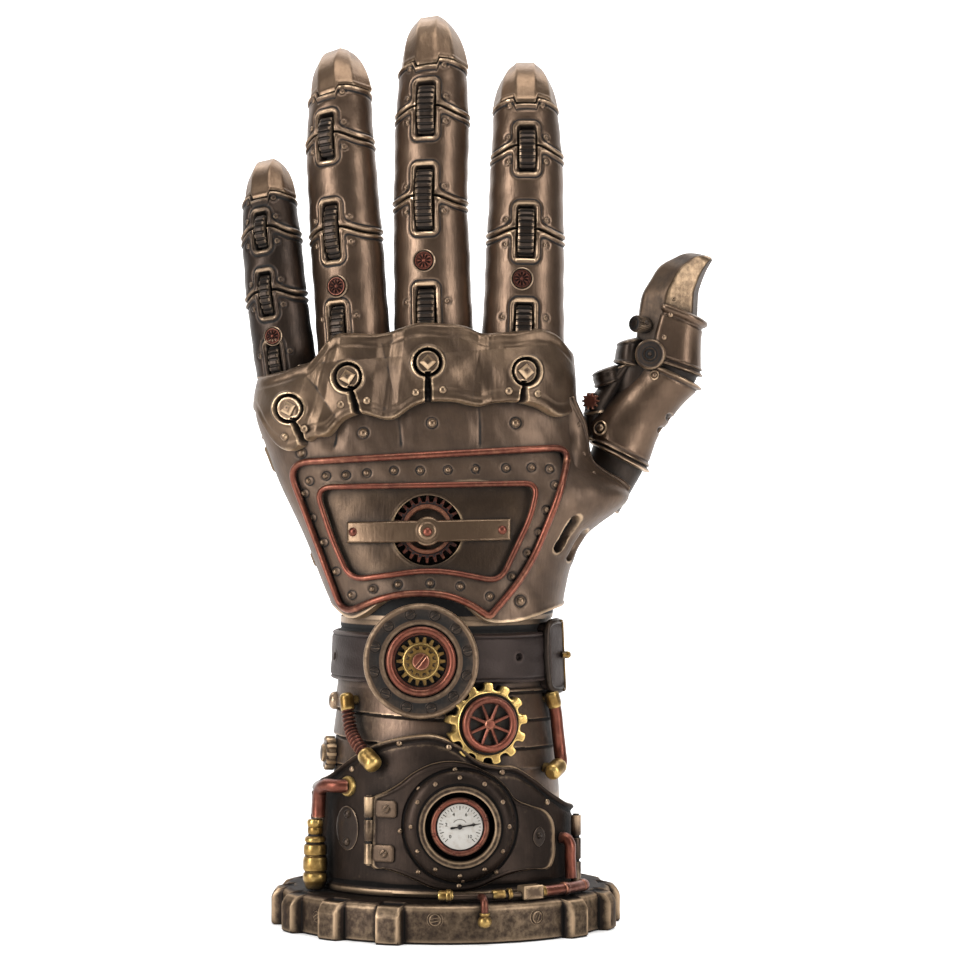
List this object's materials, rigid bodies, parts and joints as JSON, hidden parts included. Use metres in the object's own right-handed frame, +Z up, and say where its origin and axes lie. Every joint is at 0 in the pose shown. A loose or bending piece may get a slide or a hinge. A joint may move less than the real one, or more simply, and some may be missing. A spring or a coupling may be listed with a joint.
{
  "type": "armoured clockwork gauntlet on stand",
  "caption": "Upright left-hand armoured gauntlet with riveted plates, jointed-looking fingers, gears, gauge, pipes and a strapped cuff, standing on a toothed round foot.",
  "frame": {"origin": "middle of the round foot's flat underside", "axes": "+Z up along the fingers, the back of the hand faces -Y, the thumb points to +X"},
  "size_m": [0.1219, 0.0905, 0.236],
  "materials": {
    "bronze": "antique bronze paint on cast resin, dark in the recesses and rubbed bright on the edges",
    "light_bronze": "antique bronze, rubbed lighter on the raised faces",
    "dark_bronze": "dark patinated bronze of the recessed parts",
    "copper": "satin red copper with dark grime in the creases",
    "brass": "worn yellow brass",
    "leather": "dark brown tooled leather look",
    "enamel": "off-white dial with plain black numbers",
    "black_steel": "black pointer"
  },
  "bodies": {
    "root": {"back_plate": "bronze", "border_inner": "copper", "border_outer": "copper", "coil_hose": "copper", "cuff_apron": "bronze", "cuff_drum": "dark_bronze", "door_hinge": "light_bronze", "elbow_pipe": "copper", "foot_gear": "bronze", "foot_pipe": "copper", "foot_tap": "brass", "gauge_bezel": "copper", "gauge_dial": "enamel", "gauge_needle": "black_steel", "gear_panel": "light_bronze", "hand_core": "dark_bronze", "index_distal": "bronze", "index_middle": "bronze", "index_proximal": "bronze", "index_tip": "light_bronze", "index_wheel_lower": "dark_bronze", "index_wheel_upper": "dark_bronze", "instrument_disc": "light_bronze", "instrument_gear": "brass", "instrument_ring": "copper", "knuckle_guard": "light_bronze", "little_distal": "bronze", "little_middle": "bronze", "little_proximal": "bronze", "little_tip": "light_bronze", "little_wheel_lower": "dark_bronze", "little_wheel_upper": "dark_bronze", "middle_distal": "bronze", "middle_middle": "bronze", "middle_proximal": "bronze", "middle_tip": "light_bronze", "middle_wheel_lower": "dark_bronze", "middle_wheel_upper": "dark_bronze", "palm_plate": "bronze", "panel_bar": "light_bronze", "panel_gear": "copper", "porthole_door": "bronze", "ribbed_valve": "brass", "ring_distal": "bronze", "ring_middle": "bronze", "ring_proximal": "bronze", "ring_tip": "light_bronze", "ring_wheel_lower": "dark_bronze", "ring_wheel_upper": "dark_bronze", "riser_pipe": "copper", "side_barrel": "bronze", "side_gear": "brass", "side_pipe": "copper", "spoked_wheel": "copper", "strap_buckle": "dark_bronze", "thumb_lower": "bronze", "thumb_socket": "dark_bronze", "thumb_tip": "light_bronze", "thumb_upper": "bronze", "wrist_strap": "leather"}
  },
  "joints": []
}
